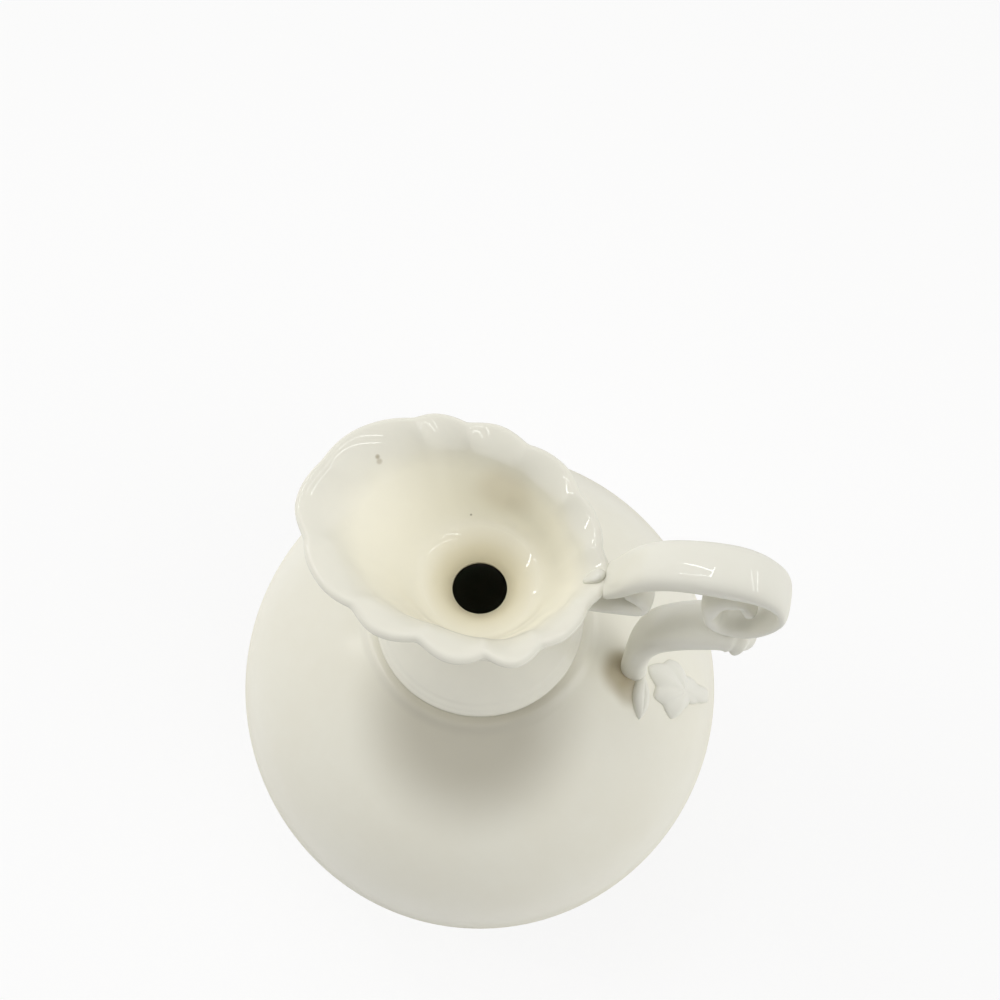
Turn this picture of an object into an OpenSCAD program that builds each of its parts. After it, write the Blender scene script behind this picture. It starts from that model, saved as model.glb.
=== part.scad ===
// Cream glazed ewer: a round body on a foot ring, a narrow throat, a scalloped
// funnel mouth with a pouring lip, and a double scroll handle with ivy leaves.
// Millimetres, +Z up. The handle is along +X and the spout along -X.
// The origin is on the axis, on the surface that the foot stands on.

/* [Body] */
// Widest diameter of the body
body_d = 200; // [186:1:230]
// Height of the widest line above the table
belly_h = 68; // [58:1:80]
// Rise of the shoulder curve above the widest line
shoulder_rise = 82; // [74:1:92]
// Fullness of the body curve, where 2 is an ellipse
fullness = 2.2; // [2:0.1:2.5]
// Wall at the widest line
body_wall = 6; // [4:0.5:8]
// Wall at the crown, under the neck
crown_wall = 8; // [6:0.5:10]
// Thickness of the floor
floor_t = 7; // [5:0.5:10]
// Fullness of the inside of the lower half, where 2 is an ellipse
floor_fullness = 3; // [2.4:0.1:3.2]

/* [Foot] */
// Outside diameter of the foot ring at the table
foot_d = 124; // [110:1:136]
// Height of the foot ring
foot_h = 10; // [7:0.5:13]
// Width of the foot ring at the table
foot_w = 7; // [5:0.5:9]
// Width of the foot ring under the bowl
foot_top_w = 12; // [10:0.5:16]
// Depth of the cove round the foot ring
foot_cove = 1.5; // [0.5:0.1:2.5]

/* [Neck] */
// How far the flared skirt at the bottom of the neck stands out beyond the rim's circle
skirt_over = 0.55; // [0.2:0.05:1.5]
// Thickness of the skirt's rounded edge
skirt_edge_t = 4; // [3:0.2:5]
// Outside diameter of the waist
waist_d = 31; // [28:0.5:36]
// Height of the waist above the neck's seat
waist_h = 22; // [19:0.5:24]
// Bore of the throat
throat_d = 17.7; // [14:0.1:19]
// Length of the throat's bore
throat_len = 3; // [2:0.5:6]
// Height of the throat's upper edge above the neck's seat
throat_h = 25; // [23:0.5:28]
// Diameter at which the basin bends down into the well round the throat
well_d = 25; // [23:0.5:27]
// Height of that bend above the throat's upper edge
well_h = 5.6; // [4.6:0.2:6]
// Height of the mouth's seam above the neck's seat
neck_h = 33; // [31:0.5:38]
// Inside diameter of the mouth's seam
seam_in_d = 37; // [33:0.5:40]
// Outside diameter of the mouth's seam
seam_out_d = 48; // [45:0.5:52]
// Bore in the crown that takes the neck's spigot
crown_bore_d = 56; // [50:0.5:60]
// Clearance of the spigot in the bore
spigot_gap = 0.2; // [0.1:0.05:0.4]
// Length of the spigot below the seat
spigot_len = 4; // [3:0.5:6]
// Wall of the spigot
spigot_wall = 5; // [4:0.5:7]
// Width of the bead round the skirt
bead_w = 3; // [2:0.2:5]
// Height of the bead round the skirt
bead_h = 1.6; // [1.2:0.2:4]
// Groove between the skirt and the bead
groove_w = 1.8; // [1:0.1:3]

/* [Mouth] */
// Rim diameter across the handle side, over the lobes
rim_d = 72.5; // [68:0.5:77]
// How far the spout reaches beyond that circle
spout_reach = 17.5; // [12:0.5:24]
// Half of the angle that the spout takes up
spout_spread = 92; // [80:1:110]
// Turn of the spout away from the handle's line
spout_turn = 2; // [0:1:6]
// How far the lobes on the far side swell beyond the rim's circle
far_swell = 2.2; // [1:0.2:3]
// Turn of that swell away from the handle's line
far_turn = 101; // [95:1:107]
// Turn of the lobes away from the handle's line
lobe_turn = 5; // [0:1:10]
// Height of the rim above the mouth's seam, at the handle
rim_h = 24; // [23:0.5:30]
// Rise of the rim at the spout
spout_rise = 11.5; // [6:0.5:16]
// Number of lobes round the rim
lobes = 12; // [10:2:16]
// Depth of the notches between the lobes
notch_depth = 2; // [1:0.2:3.6]
// Width of the flared lip
lip_w = 9; // [7:0.5:10]
// Drop from the edge to the inside of the lip
lip_drop = 3; // [2:0.5:5]
// Thickness of the lip's rounded edge
lip_t = 4.4; // [3.4:0.2:5.6]
// Wall of the mouth
mouth_wall = 5; // [4:0.5:6]

/* [Handle] */
// Width of the handle strap
strap_w = 14; // [11:0.5:17]
// Thickness of the handle strap
strap_t = 8.6; // [7:0.2:9]
// Reach of the upper scroll from the rim
scroll_reach = 44; // [40:1:52]
// Rise of the upper scroll above the rim
scroll_rise = 28.5; // [26:0.5:34]
// Thickness of the upper scroll in its curl
curl_t = 3.4; // [2.8:0.2:6]
// Distance of the lower stem's foot from the axis, as a share of the body's half width
stem_foot_share = 0.57; // [0.54:0.005:0.6]
// Width of the lower stem
stem_w = 14; // [10:0.5:16]
// Length of the lower scroll beyond the curl that rests on it
tip_len = 6; // [4:0.5:9]
// Width of the curl under the handle's root
root_curl_w = 11; // [8:0.5:13]
// Thickness of the curl under the handle's root
root_curl_t = 4.4; // [3.4:0.2:5]

/* [Leaves] */
// Length of the ivy leaf from its middle to its longest point
ivy_len = 13.5; // [11:0.5:15]
// Distance of the ivy leaf's middle from the stem's foot, as a share of the body's half width
ivy_offset_share = 0.2; // [0.19:0.005:0.22]
// Thickness of the ivy leaf at its middle
ivy_t = 3.6; // [2.4:0.2:4.6]
// Length of the small side leaf
side_leaf_len = 12; // [9:0.5:16]
// Width of the small side leaf
side_leaf_w = 7; // [5:0.5:9]
// Thickness of the small side leaf
side_leaf_t = 3; // [2:0.2:4]
// Length of the thumb leaf on the lip
thumb_len = 7; // [5:0.5:7.5]
// Width of the thumb leaf on the lip
thumb_w = 7; // [5:0.5:9]
// Height of the thumb leaf at its middle
thumb_h = 4; // [3:0.5:5]
// Thickness of the leaves at their edges
leaf_edge_t = 0.8; // [0.6:0.1:1.2]

/* [Hidden] */
$fn = 128;
cream = "#ece7da";

// Clearance between a handle or leaf and the curved face that carries it
seat_gap = 0.15;

// Sizes and heights that follow from the driving ones
body_r = body_d / 2;
inner_r = body_r - body_wall;
foot_r = foot_d / 2;
crown_bore_r = crown_bore_d / 2;
skirt_r = rim_d / 2 + skirt_over;
stem_foot_x = body_r * stem_foot_share;
ivy_x = stem_foot_x + body_r * ivy_offset_share;
bead_in_r = skirt_r + groove_w;
seat_r = bead_in_r + bead_w;
seat_z = shoulder_z(seat_r);
seam_z = seat_z + neck_h;
rim_handle_z = seam_z + rim_h;

// Curves of the body: a share of the half width, then the faces that follow it
function belly_share(r, half, full = fullness) = pow(1 - pow(min(r / half, 1), full), 1 / full);
function shoulder_z(r) = belly_h + shoulder_rise * belly_share(r, body_r);
function bowl_depth() = (belly_h - foot_h) / belly_share(foot_r, body_r);
function bowl_z(r) = belly_h - bowl_depth() * belly_share(r, body_r);
function crown_in_z(r) = belly_h + (shoulder_rise - crown_wall) * belly_share(r, inner_r);
function floor_z(r) = belly_h - (belly_h - foot_h - floor_t) * belly_share(r, inner_r, floor_fullness);

// Radii from one size in to another, spaced evenly along the curve
belly_steps = 22;
function radii(from, to, half) =
    let (a = acos(pow(from / half, fullness / 2)), b = acos(pow(to / half, fullness / 2)))
    [for (i = [0 : belly_steps]) half * pow(cos(a + (b - a) * i / belly_steps), 2 / fullness)];

// Points along an arc, and along a curve that leaves a and reaches b along the given handles
function arc(c, r, from, to, steps) =
    [for (i = [0 : steps]) let (a = from + (to - from) * i / steps) c + r * [cos(a), sin(a)]];
function curve(a, a_handle, b_handle, b, steps) =
    [for (i = [0 : steps]) let (t = i / steps, s = 1 - t)
        s * s * s * a + 3 * s * s * t * a_handle + 3 * s * t * t * b_handle + t * t * t * b];
function middle(a, b) = (a + b) / 2;
function reversed(list) = [for (i = [len(list) - 1 : -1 : 0]) list[i]];
function tail(list) = [for (i = [1 : len(list) - 1]) list[i]];

module foot_ring() {
    cove = arc([foot_r, middle(0, foot_h)], foot_cove, 270, 90, 8);
    color(cream)
        rotate_extrude()
            polygon(concat([[foot_r - foot_w, 0], [foot_r, 0]], cove,
                           [[foot_r, foot_h], [foot_r - foot_top_w, foot_h]]));
}

module lower_bowl() {
    outer = [for (r = radii(body_r, foot_r, body_r)) [r, bowl_z(r)]];
    inner = [for (r = tail(reversed(radii(inner_r, 0, inner_r)))) [r, floor_z(r)]];
    color(cream)
        rotate_extrude()
            polygon(concat(outer, [[0, foot_h], [0, floor_z(0)]], inner));
}

module shoulder_dome() {
    outer = [for (r = radii(body_r, seat_r, body_r)) [r, shoulder_z(r)]];
    inner = [for (r = reversed(radii(inner_r, crown_bore_r, inner_r))) [r, crown_in_z(r)]];
    color(cream)
        rotate_extrude()
            polygon(concat(outer, [[crown_bore_r, seat_z]], inner));
}

module neck_bead() {
    bead_r = bead_w / 2;
    color(cream)
        rotate_extrude()
            polygon([for (p = arc([0, 0], 1, 0, 180, 10))
                [bead_in_r + bead_r + bead_r * p.x, seat_z + bead_h * p.y]]);
}

// Angle at which the skirt leaves its rounded edge, and how hard the well's bend pulls the basin
skirt_edge_turn = 60;
well_pull_share = 0.67;
// Domed skirt: handles at its edge and at the waist, as shares of its width and height
skirt_low_shares = [0.2, 0.35];
skirt_high_shares = [0.17, 0.46];

module neck_bell() {
    spigot_r = crown_bore_r - spigot_gap;
    edge_r = skirt_edge_t / 2;
    edge = arc([skirt_r - edge_r, seat_z + edge_r], edge_r, -90, skirt_edge_turn, 8);
    edge_end = edge[len(edge) - 1];
    waist = [waist_d / 2, seat_z + waist_h];
    seam_out = [seam_out_d / 2, seam_z];
    seam_in = [seam_in_d / 2, seam_z];
    throat_top = [throat_d / 2, seat_z + throat_h];
    throat_low = throat_top - [0, throat_len];
    spigot_low = [spigot_r - spigot_wall, seat_z - spigot_len];
    climb = waist - edge_end;
    skirt = curve(edge_end, edge_end + [climb.x * skirt_low_shares.x, climb.y * skirt_low_shares.y],
                  waist - [climb.x * skirt_high_shares.x, climb.y * skirt_high_shares.y], waist, 12);
    cup = curve(waist, [waist.x, middle(waist.y, seam_out.y)],
                [middle(waist.x, seam_out.x), middle(waist.y, seam_out.y)], seam_out, 8);
    well = [well_d / 2, throat_top.y + well_h];
    basin = curve(seam_in, seam_in + well_pull_share * (well - seam_in),
                  throat_top + well_pull_share * (well - throat_top), throat_top, 8);
    bell = curve(throat_low, [throat_low.x, middle(throat_low.y, seat_z)],
                 [spigot_low.x, middle(throat_low.y, seat_z)], spigot_low, 8);
    color(cream)
        rotate_extrude()
            polygon(concat([[spigot_r, spigot_low.y], [spigot_r, seat_z]], edge, tail(skirt), tail(cup),
                           basin, bell));
}

// Plan and height of the rim, by the angle from the handle
function from_spout(a) = abs((a - spout_turn + 360) % 360 - 180);
function spout_share(a) = (1 + cos(180 * min(from_spout(a) / spout_spread, 1))) / 2;
function notch_share(a) = 1 - abs(cos(lobes * (a - lobe_turn) / 2));
swell_power = 6;
function swell_share(a) = pow(max(cos(a - far_turn), 0), swell_power);
function rim_plan(a) = rim_d / 2 + spout_reach * spout_share(a) + far_swell * swell_share(a);
function rim_r(a) = rim_plan(a) - notch_depth * notch_share(a);
function rim_z(a) = rim_handle_z + spout_rise * (1 + cos(from_spout(a))) / 2;

// Inside and outside of the mouth's wall under the lip
inside_notch_share = 0.2;
wall_bow_share = 0.75;
function lip_in(a) =
    [rim_plan(a) - lip_w - inside_notch_share * notch_depth * notch_share(a), rim_z(a) - lip_drop];
function lip_out(a) = lip_in(a) + [mouth_wall, -mouth_wall];
function wall_r(seam_r, lip, z) =
    seam_r + (lip.x - seam_r) * pow(max(z - seam_z, 0) / (lip.y - seam_z), wall_bow_share);

// Top of the flared lip at a distance from the axis
function lip_top_z(a, r) =
    let (
        inner = lip_in(a).x,
        outer = rim_r(a) - lip_t / 2,
        u = min(max((r - inner) / (outer - inner), 0), 1)
    )
    rim_z(a) - lip_drop * (1 - u) * (1 - u);

// One section of the mouth, from the inside of the seam over the lip to the outside of the seam
wall_shares = [0, 0.05, 0.14, 0.28, 0.46, 0.7, 1];
flange_shares = [0.2, 0.45, 0.7];
function mouth_section(a) =
    let (
        edge_r = lip_t / 2,
        inner = lip_in(a),
        outer = lip_out(a),
        edge_c = [rim_r(a) - edge_r, rim_z(a) - edge_r],
        wall_in = [for (s = wall_shares) let (z = seam_z + s * (inner.y - seam_z))
            [wall_r(seam_in_d / 2, inner, z), z]],
        flange = [for (s = flange_shares) let (r = inner.x + s * (edge_c.x - inner.x)) [r, lip_top_z(a, r)]],
        edge = arc(edge_c, edge_r, 90, -90, 6),
        under = curve(edge_c - [0, edge_r], edge_c - [edge_r, edge_r], outer + [0, edge_r], outer, 3),
        wall_out = [for (s = reversed(wall_shares)) let (z = seam_z + s * (outer.y - seam_z))
            [wall_r(seam_out_d / 2, outer, z), z]]
    )
    concat(wall_in, flange, edge, tail(under), tail(wall_out));

module mouth_funnel() {
    turns = lobes * 10;
    color(cream)
        loft_ring([for (j = [0 : turns - 1]) let (a = lobe_turn + 360 * j / turns)
            [for (p = mouth_section(a)) [p.x * cos(a), p.x * sin(a), p.y]]]);
}

// Closed loft through closed sections that go round an axis
module loft_ring(sections) {
    n = len(sections);
    k = len(sections[0]);
    polyhedron([for (s = sections) each s],
        [for (j = [0 : n - 1], i = [0 : k - 1])
            let (a = j * k, b = (j + 1) % n * k, i2 = (i + 1) % k)
            each [[a + i, b + i, b + i2], [a + i, b + i2, a + i2]]]);
}

// Loft along a list of closed rings, with a fan of triangles at each end
module loft_rod(rings) {
    n = len(rings);
    k = len(rings[0]);
    last = (n - 1) * k;
    sides = [for (j = [0 : n - 2], i = [0 : k - 1])
        let (a = j * k, b = a + k, i2 = (i + 1) % k)
        each [[a + i, b + i, b + i2], [a + i, b + i2, a + i2]]];
    polyhedron([for (s = rings) each s],
        concat(sides, [for (i = [1 : k - 2]) [0, i, i + 1]],
               [for (i = [1 : k - 2]) [last, last + i + 1, last + i]]));
}

// Smooth curve through points, and the direction at one of its places
path_steps = 4;
function spline_at(p, i, t) =
    let (a = p[max(i - 1, 0)], b = p[i], c = p[i + 1], d = p[min(i + 2, len(p) - 1)])
    (2 * b + (c - a) * t + (2 * a - 5 * b + 4 * c - d) * t * t + (3 * b - a - 3 * c + d) * t * t * t) / 2;
function spline(p) =
    concat([for (i = [0 : len(p) - 2], j = [0 : path_steps - 1]) spline_at(p, i, j / path_steps)],
           [p[len(p) - 1]]);
function heading(p, i) =
    let (d = p[min(i + 1, len(p) - 1)] - p[max(i - 1, 0)]) d / norm(d);

// Oval ring of a strap in the handle's upright plane, square to the given direction
ring_sides = 16;
ring_angles = [for (i = [0 : ring_sides - 1]) -360 * i / ring_sides];
function strap_ring(c, along, w, t) =
    [for (a = ring_angles)
        [c.x - along.y * t / 2 * cos(a), w / 2 * sin(a), c.y + along.x * t / 2 * cos(a)]];

// Rings along a path, which turn from the face that carries the strap to square across the path
turn_steps = 5;
function ring_along(p, i, face) =
    let (u = min(i / turn_steps, 1), d = (1 - u) * face + u * heading(p, i)) d / norm(d);
function strap_rings(p, face, w, w_shares, t, t_shares) =
    let (n = len(p) - 1)
    [for (i = [1 : n]) let (along = ring_along(p, i, face))
        strap_ring(p[i], along, w * lookup(i / n, w_shares),
                   t * lookup(i / n, t_shares) / (along * heading(p, i)))];

// Rounded end: rings that shrink past the last place of a path
cap_angles = [30, 55, 75];
function strap_cap(p, w, t) =
    let (n = len(p) - 1, along = heading(p, n))
    [for (a = cap_angles) strap_ring(p[n] + along * t / 2 * sin(a), along, w * cos(a), t * cos(a))];

// Upper scroll: places as shares of its reach and rise from the rim at the handle
upper_shares = [
    [0.01, 0.15], [0.155, 0.43], [0.32, 0.7], [0.5, 0.89], [0.66, 0.98], [0.8, 1], [0.92, 0.91],
    [0.995, 0.71], [0.99, 0.43], [0.925, 0.18], [0.81, 0.08], [0.72, 0.15], [0.675, 0.36], [0.7, 0.55],
    [0.77, 0.62],
];
curl_place = 10;
function upper_place(s) = [rim_d / 2 + s.x * scroll_reach, rim_handle_z + s.y * scroll_rise];
// Thickness and width along the upper scroll, as shares of the way and of the full size
curl_t_share = curl_t / strap_t;
lobe_swell_share = 1.4;
upper_t_shares = [[0, 1], [0.28, 1], [0.5, curl_t_share], [0.78, curl_t_share],
                  [0.9, curl_t_share * lobe_swell_share], [1, curl_t_share]];
upper_w_shares = [[0, 1], [0.35, 1], [0.6, 0.85], [0.9, 0.75], [1, 0.6]];
curl_end_w = strap_w * upper_w_shares[len(upper_w_shares) - 1].y;

module upper_scroll() {
    path = spline([for (s = upper_shares) upper_place(s)]);
    root_half = strap_t / 2 / heading(path, 0).x;
    root = [for (a = ring_angles) let (y = strap_w / 2 * sin(a), turn = asin(y / (rim_d / 2)))
        [rim_r(turn) * cos(turn) + seat_gap, y, path[0].y + root_half * cos(a)]];
    rings = strap_rings(path, [1, 0], strap_w, upper_w_shares, strap_t, upper_t_shares);
    color(cream)
        loft_rod(concat([root], rings, strap_cap(path, curl_end_w, curl_t)));
}

// Lower scroll: places as shares of the way from its foot to the curl that rests on it
lower_shares = [[0, 0], [-0.1, 0.27], [-0.12, 0.5], [0, 0.68], [0.31, 0.82], [0.69, 0.93], [1, 1]];
tip_shares = [[0.5, 0.05], [1, -0.1]];
lower_t_shares = [[0, 1.1], [0.2, 1], [0.85, 1], [1, 0.85]];
lower_w_shares = [[0, 1.05], [0.15, 1], [0.8, 1], [0.93, 1.05], [1, 0.8]];
lower_tip_t = strap_t * lower_t_shares[len(lower_t_shares) - 1].y;
lower_tip_w = stem_w * lower_w_shares[len(lower_w_shares) - 1].y;
foot_w_share = lower_w_shares[0].y;
foot_t_share = lower_t_shares[0].y;

module lower_scroll() {
    foot = [stem_foot_x, shoulder_z(stem_foot_x)];
    rest = upper_place(upper_shares[curl_place]) - [0, middle(curl_t, strap_t) + seat_gap];
    path = spline(concat([for (s = lower_shares) foot + [s.x * (rest.x - foot.x), s.y * (rest.y - foot.y)]],
                         [for (s = tip_shares) rest + s * tip_len]));
    base = [for (p = strap_ring(foot, [0, 1], stem_w * foot_w_share, strap_t * foot_t_share))
        [p.x, p.y, shoulder_z(norm([p.x, p.y])) + seat_gap]];
    rings = strap_rings(path, [0, 1], stem_w, lower_w_shares, strap_t, lower_t_shares);
    color(cream)
        loft_rod(concat([base], rings, strap_cap(path, lower_tip_w, lower_tip_t)));
}

// Curl under the handle's root: places as shares of the strap's width and of the lip's thickness
root_curl_shares = [[0, 0], [0.4, 0.5], [0.75, 1.2], [1.1, 1.95], [1.22, 2.75], [1.06, 3.3], [0.84, 3.1]];
even_shares = [[0, 1], [1, 1]];

module root_curl() {
    start_z = lip_out(0).y - root_curl_t / 2;
    start_r = wall_r(seam_out_d / 2, lip_out(0), start_z);
    path = spline([for (s = root_curl_shares) [start_r + s.x * strap_w, start_z + s.y * lip_t]]);
    base = [for (a = ring_angles)
        let (y = root_curl_w / 2 * sin(a), z = start_z + root_curl_t / 2 * cos(a), turn = asin(y / start_r),
             r = wall_r(seam_out_d / 2, lip_out(turn), z))
        [sqrt(r * r - y * y) + seat_gap, y, z]];
    rings = strap_rings(path, [1, 0], root_curl_w, even_shares, root_curl_t, even_shares);
    color(cream)
        loft_rod(concat([base], rings, strap_cap(path, root_curl_w, root_curl_t)));
}

// Leaf that lies on a face: rings grow from the middle along the face and shrink again above it
leaf_under_shares = [0.04, 0.5, 1];
leaf_over_shares = [1, 0.85, 0.6, 0.3, 0.04];
module draped_leaf(c, outline, t, face_z) {
    function ring(q, lift) =
        [for (p = outline) let (at = c + q * (p - c)) [at.x, at.y, face_z(at) + seat_gap + lift]];
    under = [for (q = leaf_under_shares) ring(q, 0)];
    over = [for (q = leaf_over_shares) ring(q, leaf_edge_t + (t - leaf_edge_t) * (1 - q * q))];
    loft_rod(concat(under, over));
}

// Ivy leaf: distance of its edge from its middle by angle, as shares of its longest point
ivy_steps = 60;
ivy_shares = [
    [-180, 0.62], [-143, 0.88], [-120, 0.64], [-93, 0.84], [-57, 0.52], [-12, 0.7],
    [27, 1], [78, 0.58], [112, 0.84], [132, 0.64], [150, 0.82], [180, 0.62],
];

module ivy_leaf() {
    c = [ivy_x, 0];
    outline = [for (i = [0 : ivy_steps - 1])
        let (a = 360 * i / ivy_steps - 180)
        c + ivy_len * lookup(a, ivy_shares) * [cos(a), sin(a)]];
    color(cream)
        draped_leaf(c, outline, ivy_t, function (p) shoulder_z(norm(p)));
}

// Side leaf: a pointed oval that starts at the stem's foot
side_leaf_turn = -82;
side_leaf_steps = 24;

module side_leaf() {
    along = [cos(side_leaf_turn), sin(side_leaf_turn)];
    across = [-along.y, along.x];
    c = [stem_foot_x + strap_t / 2, -stem_w / 2] + along * side_leaf_len / 2;
    outline = [for (i = [0 : side_leaf_steps - 1])
        let (a = 360 * i / side_leaf_steps)
        c + along * side_leaf_len / 2 * cos(a) + across * side_leaf_w / 2 * sin(a) * abs(sin(a))];
    color(cream)
        draped_leaf(c, outline, side_leaf_t, function (p) shoulder_z(norm(p)));
}

// Thumb leaf: a small oval on the lip, against the handle's root
thumb_steps = 24;

module thumb_leaf() {
    c = [rim_r(0) - thumb_len / 2, 0];
    outline = [for (i = [0 : thumb_steps - 1])
        let (a = 360 * i / thumb_steps)
        c + [thumb_len / 2 * cos(a), thumb_w / 2 * sin(a)]];
    color(cream)
        draped_leaf(c, outline, thumb_h, function (p) lip_top_z(atan2(p.y, p.x), norm(p)));
}

foot_ring();
lower_bowl();
shoulder_dome();
neck_bead();
neck_bell();
mouth_funnel();
upper_scroll();
lower_scroll();
root_curl();
thumb_leaf();
ivy_leaf();
side_leaf();
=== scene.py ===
"""Looks of the cream glazed ewer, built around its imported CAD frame.

Every size is in metres. The handle is along +X, the spout along -X, and the foot stands on z = 0.
"""

from __future__ import annotations

import logging
from collections.abc import Callable, Sequence
from dataclasses import dataclass
from enum import Enum
from math import acos, atan2, copysign, cos, degrees, exp, hypot, pi, radians, remainder, sin, sqrt, tau
from typing import TypeVar

import bmesh
import bpy
from bmesh.types import BMEdge, BMesh, BMVert
from bpy.types import Material, Node, NodeSocket, NodeTree
from bpy.types import Object as Piece
from mathutils import Matrix, Vector

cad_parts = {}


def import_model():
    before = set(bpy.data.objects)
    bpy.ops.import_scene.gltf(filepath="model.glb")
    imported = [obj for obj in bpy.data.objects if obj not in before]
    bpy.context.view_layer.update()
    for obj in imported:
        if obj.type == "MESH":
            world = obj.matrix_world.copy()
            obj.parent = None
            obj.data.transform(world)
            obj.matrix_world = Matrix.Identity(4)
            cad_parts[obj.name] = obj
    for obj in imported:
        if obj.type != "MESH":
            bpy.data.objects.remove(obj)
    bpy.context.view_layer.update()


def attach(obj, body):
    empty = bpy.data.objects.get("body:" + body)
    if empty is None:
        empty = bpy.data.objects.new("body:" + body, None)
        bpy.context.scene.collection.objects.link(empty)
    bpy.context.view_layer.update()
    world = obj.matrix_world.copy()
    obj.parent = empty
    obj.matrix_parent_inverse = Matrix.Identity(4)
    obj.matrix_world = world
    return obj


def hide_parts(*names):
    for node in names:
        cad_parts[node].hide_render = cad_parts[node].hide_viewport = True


MM = 0.001
BODY = "root"
WARMTH_AND_PAINTED_LIGHT = "warmth_and_painted_light"
TURN_STEPS = 240
WELD = 0.002 * MM
NO_SIZE = 1e-9
WALL_STEPS = 22
FLARE_STEPS = 14
SHARP_ANGLE = radians(42)
ROUND_ANGLES = (30, 55, 74, 87)
SWELL_SHARE = 0.78

log = logging.getLogger("ewer")

Colour = tuple[float, float, float, float]
Place = tuple[float, float, float]
Pair = tuple[float, float]
Pairs = tuple[Pair, ...]
Value = TypeVar("Value", float, Vector)


def srgb(red: int, green: int, blue: int) -> Colour:
    """Linear colour of screen values, each from 0 to 255."""
    linear = (s / 12.92 if s <= 0.04045 else ((s + 0.055) / 1.055) ** 2.4 for s in (red / 255, green / 255, blue / 255))
    return (*linear, 1.0)


def between(low: Value, high: Value, share: float) -> Value:
    """Value or point at a share of the way from low to high."""
    return low + (high - low) * share


def soft_step(share: float) -> float:
    """Share from 0 to 1 that starts and ends level."""
    share = min(max(share, 0.0), 1.0)
    return share * share * (3 - 2 * share)


def table_value(pairs: Pairs, at: float, ease: Callable[[float], float] = soft_step) -> float:
    """Value at a place in a short table of (place, value) pairs.

    Args:
        pairs: The pairs, in rising order of place.
        at: The place that is asked for.
        ease: Gives the share of the change from the share of the way between two pairs.

    Returns:
        The value, which stays the same past the last pair.
    """
    for (start, low), (end, high) in zip(pairs, pairs[1:]):
        if at <= end:
            return between(low, high, ease((at - start) / (end - start)))
    return pairs[-1][1]


def arc(centre: Vector, radius: float, start: float, end: float, steps: int) -> list[Vector]:
    """Points along an arc in the (radius, height) plane.

    Args:
        centre: Middle of the arc.
        radius: Its radius.
        start: First angle, in degrees.
        end: Last angle, in degrees.
        steps: Number of gaps between the points.

    Returns:
        The points, both ends included.
    """
    angles = [radians(between(start, end, i / steps)) for i in range(steps + 1)]
    return [centre + radius * Vector((cos(a), sin(a))) for a in angles]


def curve(a: Vector, a_handle: Vector, b_handle: Vector, b: Vector, steps: int) -> list[Vector]:
    """Points along a curve that leaves a and reaches b along their handles.

    Args:
        a: First end.
        a_handle: Handle of the first end.
        b_handle: Handle of the last end.
        b: Last end.
        steps: Number of gaps between the points.

    Returns:
        The points, both ends included.
    """
    points = []
    for i in range(steps + 1):
        t = i / steps
        s = 1 - t
        points.append(s**3 * a + 3 * s * s * t * a_handle + 3 * s * t * t * b_handle + t**3 * b)
    return points


def spline(points: Sequence[Vector], steps: int) -> list[Vector]:
    """Smooth curve through points.

    Args:
        points: Places that the curve goes through.
        steps: Number of gaps between two places.

    Returns:
        Points along the curve, both ends included.
    """
    last = len(points) - 1
    path = []
    for i in range(last):
        a, b, c, d = points[max(i - 1, 0)], points[i], points[i + 1], points[min(i + 2, last)]
        for j in range(steps):
            t = j / steps
            path.append(0.5 * (2 * b + (c - a) * t + (2 * a - 5 * b + 4 * c - d) * t * t
                               + (3 * b - a - 3 * c + d) * t**3))
    return path + [points[last].copy()]


def finished(name: str, bm: BMesh, nodes: Sequence[str], smoothing: int = 0) -> Piece:
    """Closes a mesh, turns its faces outwards and makes it a piece of the ewer.

    Args:
        name: Name of the piece.
        bm: Its mesh, in place. It is freed here.
        nodes: CAD nodes that the piece stands for.
        smoothing: Levels of subdivision.

    Returns:
        The new object, at the origin.
    """
    bmesh.ops.remove_doubles(bm, verts=bm.verts, dist=WELD)
    bmesh.ops.dissolve_degenerate(bm, edges=bm.edges, dist=WELD)
    bmesh.ops.recalc_face_normals(bm, faces=bm.faces)
    mesh = bpy.data.meshes.new(name)
    bm.to_mesh(mesh)
    bm.free()
    mesh.shade_smooth()
    mesh.set_sharp_from_angle(angle=SHARP_ANGLE)
    piece = bpy.data.objects.new(name, mesh)
    bpy.context.scene.collection.objects.link(piece)
    if smoothing:
        rounding = piece.modifiers.new("rounding", "SUBSURF")
        rounding.levels = rounding.render_levels = smoothing
    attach(piece, BODY)
    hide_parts(*nodes)
    log.info("built %s for %s", name, ", ".join(nodes))
    return piece


def turned(profile: Sequence[Vector], closed: bool = True) -> BMesh:
    """Spins a profile round the ewer's axis.

    Args:
        profile: Points as (radius, height).
        closed: Whether the last point joins the first. An open profile ends on the axis.

    Returns:
        The spun mesh.
    """
    bm = bmesh.new()
    verts = [bm.verts.new((p.x, 0, p.y)) for p in profile]
    ends = verts[1:] + verts[:1] if closed else verts[1:]
    edges = [bm.edges.new(pair) for pair in zip(verts, ends)]
    bmesh.ops.spin(bm, geom=verts + edges, cent=(0, 0, 0), axis=(0, 0, 1), angle=tau,
                   steps=TURN_STEPS, use_merge=True)
    return bm


def grown_ring(bm: BMesh, edges: list[BMEdge], move: Matrix) -> list[BMEdge]:
    """Extrudes a loop of edges and moves the new loop.

    Args:
        bm: The mesh.
        edges: The loop to extrude.
        move: Transform from the old loop's place to the new one's.

    Returns:
        The edges of the new loop.
    """
    grown = bmesh.ops.extrude_edge_only(bm, edges=edges)["geom"]
    ring = {g for g in grown if isinstance(g, BMVert)}
    bmesh.ops.transform(bm, matrix=move, verts=list(ring))
    return [g for g in grown if isinstance(g, BMEdge) and ring.issuperset(g.verts)]


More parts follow.
